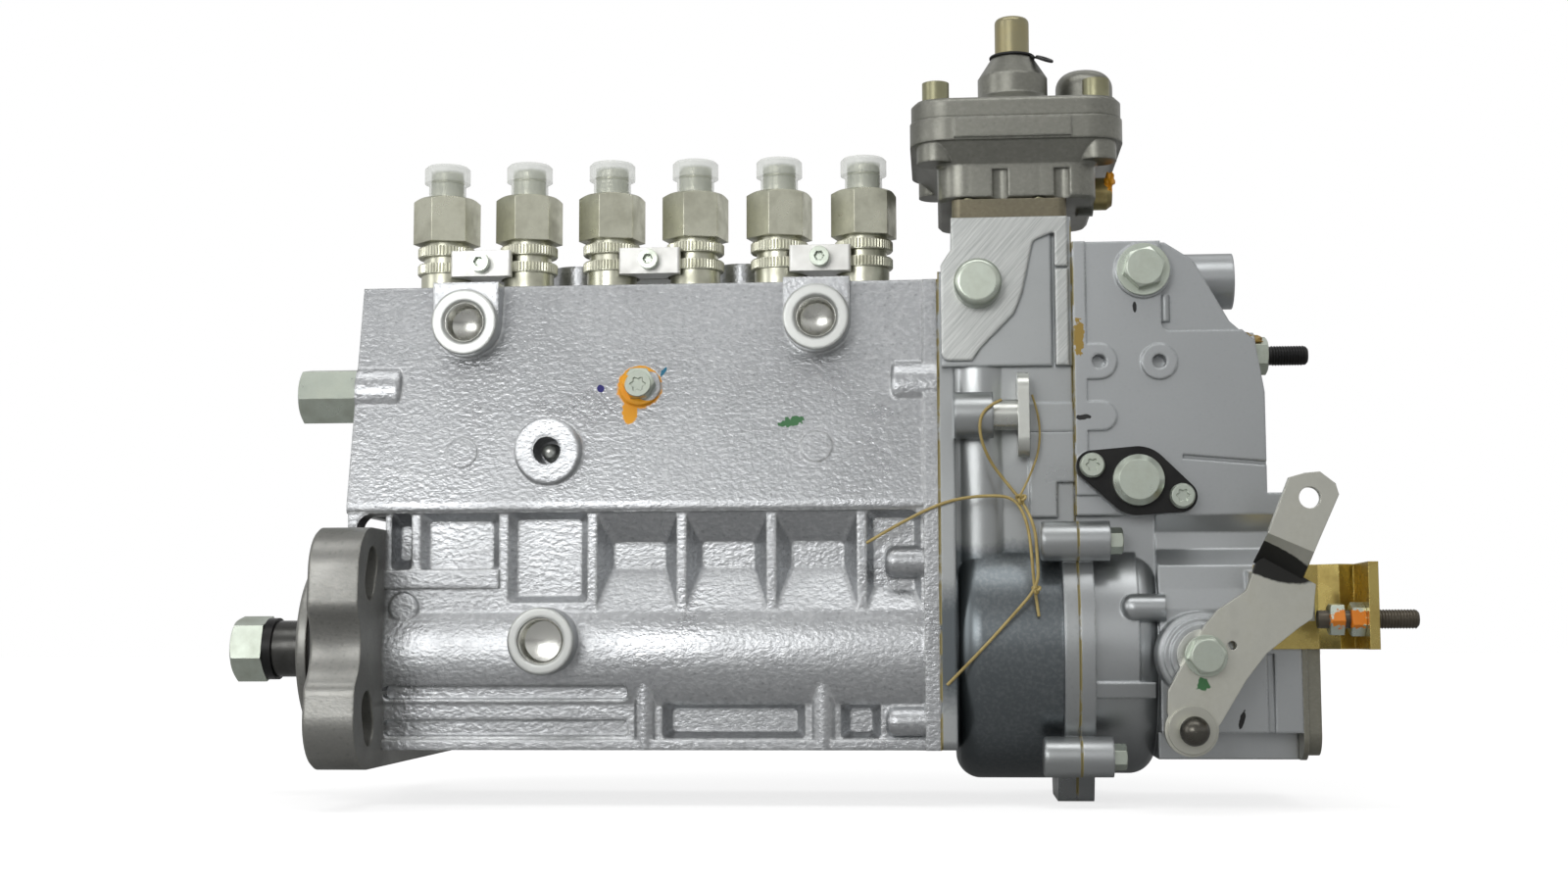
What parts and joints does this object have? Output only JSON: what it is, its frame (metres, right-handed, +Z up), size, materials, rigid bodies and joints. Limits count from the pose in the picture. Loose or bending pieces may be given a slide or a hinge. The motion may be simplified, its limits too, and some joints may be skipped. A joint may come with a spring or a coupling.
{
  "type": "in-line diesel fuel injection pump",
  "caption": "In-line diesel injection pump with flange drive end, delivery valve holders under shipping caps, mechanical governor, control lever and boost unit.",
  "frame": {"origin": "camshaft axis in the mounting face of the drive-end flange", "axes": "+X along the camshaft to the governor end, +Y away from the control lever, +Z up to the delivery valve holders"},
  "size_m": [0.424, 0.1591, 0.2918],
  "materials": {
    "black_oxide": "black oxide",
    "black_rubber": "black rubber",
    "boost_cast": "cast, dark olive grey",
    "bright_steel": "bright machined steel",
    "cast_aluminium": "sand-cast, light silver grey, fine grain",
    "clear_plastic": "milky translucent polyethylene",
    "cover_cast": "die-cast, mid grey",
    "cover_plate": "pressed cover with its gasket",
    "flange_cast": "cast, darker grey brown",
    "governor_cast": "die-cast, machined upper face, darker drum",
    "hard_steel": "hardened ground steel",
    "lever_steel": "satin zinc-plated sheet",
    "nickel_plate": "olive grey nickel plate",
    "olive_brass": "olive plated brass",
    "seal_twine": "waxed yellowish twine",
    "shaft_steel": "dark ground steel",
    "spacer_cast": "cast plate, olive brown",
    "spring_steel": "blued spring steel",
    "yellow_zinc": "yellow chromated zinc",
    "zinc_plate": "pale greenish zinc plate"
  },
  "bodies": {
    "pump_body": {"air_fitting": "clear_plastic", "barrels": "hard_steel", "boost_body": "boost_cast", "boost_cap": "olive_brass", "boost_cover": "boost_cast", "boost_cover_screws": "zinc_plate", "boost_plug": "yellow_zinc", "boost_spacer": "spacer_cast", "camshaft_bearings": "hard_steel", "clamping_jaws": "bright_steel", "cover_bolt": "zinc_plate", "delivery_valve_holders": "nickel_plate", "front_flange": "flange_cast", "governor_cover": "cover_cast", "governor_housing": "governor_cast", "governor_plug": "zinc_plate", "governor_screws": "zinc_plate", "housing_screws": "zinc_plate", "idle_stop": "black_oxide", "lock_nuts": "zinc_plate", "pilot_ring": "black_rubber", "plug_flange": "black_oxide", "plunger_springs": "spring_steel", "plungers": "hard_steel", "pump_housing": "cast_aluminium", "rack_cap": "zinc_plate", "rear_cover": "cover_plate", "seal_wire_1": "seal_twine", "seal_wire_2": "seal_twine", "shaft_plug": "zinc_plate", "shaft_seal": "black_rubber", "small_lever": "bright_steel", "stop_bracket": "yellow_zinc", "stop_screw": "black_oxide", "tappets": "hard_steel"},
    "camshaft": {"camshaft": "shaft_steel", "shaft_nut": "zinc_plate", "shaft_washer": "black_oxide", "flyweight_carrier": "hard_steel"},
    "flyweight_1": {"flyweight_1": "hard_steel"},
    "flyweight_2": {"flyweight_2": "hard_steel"},
    "governor_sleeve": {"governor_sleeve": "hard_steel"},
    "control_rack": {"control_rack": "hard_steel"},
    "control_lever": {"control_lever": "lever_steel", "lever_bolt": "zinc_plate", "ball_stud": "shaft_steel", "lever_shaft": "bright_steel"},
    "boost_diaphragm": {"boost_diaphragm": "hard_steel"},
    "control_sleeve_1": {"control_sleeve_1": "hard_steel"},
    "outlet_cap_1": {"outlet_cap_1": "clear_plastic"},
    "control_sleeve_2": {"control_sleeve_2": "hard_steel"},
    "outlet_cap_2": {"outlet_cap_2": "clear_plastic"},
    "control_sleeve_3": {"control_sleeve_3": "hard_steel"},
    "outlet_cap_3": {"outlet_cap_3": "clear_plastic"},
    "control_sleeve_4": {"control_sleeve_4": "hard_steel"},
    "outlet_cap_4": {"outlet_cap_4": "clear_plastic"},
    "control_sleeve_5": {"control_sleeve_5": "hard_steel"},
    "outlet_cap_5": {"outlet_cap_5": "clear_plastic"},
    "control_sleeve_6": {"control_sleeve_6": "hard_steel"},
    "outlet_cap_6": {"outlet_cap_6": "clear_plastic"}
  },
  "joints": [
    {"name": "camshaft_spin", "type": "hinge", "parent": "pump_body", "child": "camshaft", "pos_m": [0, 0, 0], "axis": [1, 0, 0], "continuous": true},
    {"name": "flyweight_1_swing", "type": "hinge", "parent": "camshaft", "child": "flyweight_1", "pos_m": [0.236, 0, 0.022], "axis": [0, -1, 0], "range_deg": [0, 16]},
    {"name": "flyweight_2_swing", "type": "hinge", "parent": "camshaft", "child": "flyweight_2", "pos_m": [0.236, 0, -0.022], "axis": [0, 1, 0], "range_deg": [0, 16]},
    {"name": "governor_sleeve_slide", "type": "slide", "parent": "camshaft", "child": "governor_sleeve", "axis": [1, 0, 0], "range_m": [0, 0.0025]},
    {"name": "rack_slide", "type": "slide", "parent": "pump_body", "child": "control_rack", "axis": [1, 0, 0], "range_m": [-0.009, 0.009]},
    {"name": "control_sleeve_1_turn", "type": "hinge", "parent": "pump_body", "child": "control_sleeve_1", "pos_m": [0.029, 0, 0.0905], "axis": [0, 0, 1], "range_deg": [-25.8, 25.8]},
    {"name": "control_sleeve_2_turn", "type": "hinge", "parent": "pump_body", "child": "control_sleeve_2", "pos_m": [0.061, 0, 0.0905], "axis": [0, 0, 1], "range_deg": [-25.8, 25.8]},
    {"name": "control_sleeve_3_turn", "type": "hinge", "parent": "pump_body", "child": "control_sleeve_3", "pos_m": [0.093, 0, 0.0905], "axis": [0, 0, 1], "range_deg": [-25.8, 25.8]},
    {"name": "control_sleeve_4_turn", "type": "hinge", "parent": "pump_body", "child": "control_sleeve_4", "pos_m": [0.125, 0, 0.0905], "axis": [0, 0, 1], "range_deg": [-25.8, 25.8]},
    {"name": "control_sleeve_5_turn", "type": "hinge", "parent": "pump_body", "child": "control_sleeve_5", "pos_m": [0.157, 0, 0.0905], "axis": [0, 0, 1], "range_deg": [-25.8, 25.8]},
    {"name": "control_sleeve_6_turn", "type": "hinge", "parent": "pump_body", "child": "control_sleeve_6", "pos_m": [0.189, 0, 0.0905], "axis": [0, 0, 1], "range_deg": [-25.8, 25.8]},
    {"name": "control_lever_swing", "type": "hinge", "parent": "pump_body", "child": "control_lever", "pos_m": [0.3046, -0.062, -0.003], "axis": [0, -1, 0], "range_deg": [0, 40]},
    {"name": "outlet_cap_1_lift", "type": "slide", "parent": "pump_body", "child": "outlet_cap_1", "axis": [0, 0, 1], "range_m": [0, 0.04]},
    {"name": "outlet_cap_2_lift", "type": "slide", "parent": "pump_body", "child": "outlet_cap_2", "axis": [0, 0, 1], "range_m": [0, 0.04]},
    {"name": "outlet_cap_3_lift", "type": "slide", "parent": "pump_body", "child": "outlet_cap_3", "axis": [0, 0, 1], "range_m": [0, 0.04]},
    {"name": "outlet_cap_4_lift", "type": "slide", "parent": "pump_body", "child": "outlet_cap_4", "axis": [0, 0, 1], "range_m": [0, 0.04]},
    {"name": "outlet_cap_5_lift", "type": "slide", "parent": "pump_body", "child": "outlet_cap_5", "axis": [0, 0, 1], "range_m": [0, 0.04]},
    {"name": "outlet_cap_6_lift", "type": "slide", "parent": "pump_body", "child": "outlet_cap_6", "axis": [0, 0, 1], "range_m": [0, 0.04]},
    {"name": "boost_slide", "type": "slide", "parent": "pump_body", "child": "boost_diaphragm", "axis": [0, 0, 1], "range_m": [-0.006, 0], "stiffness_N_per_m": 2000}
  ],
  "couplings": [
    {"joint": "flyweight_1_swing", "follows": "governor_sleeve_slide", "rad_per_m": 111},
    {"joint": "flyweight_2_swing", "follows": "governor_sleeve_slide", "rad_per_m": 111},
    {"joint": "control_sleeve_1_turn", "follows": "rack_slide", "rad_per_m": 50},
    {"joint": "control_sleeve_2_turn", "follows": "rack_slide", "rad_per_m": 50},
    {"joint": "control_sleeve_3_turn", "follows": "rack_slide", "rad_per_m": 50},
    {"joint": "control_sleeve_4_turn", "follows": "rack_slide", "rad_per_m": 50},
    {"joint": "control_sleeve_5_turn", "follows": "rack_slide", "rad_per_m": 50},
    {"joint": "control_sleeve_6_turn", "follows": "rack_slide", "rad_per_m": 50}
  ]
}
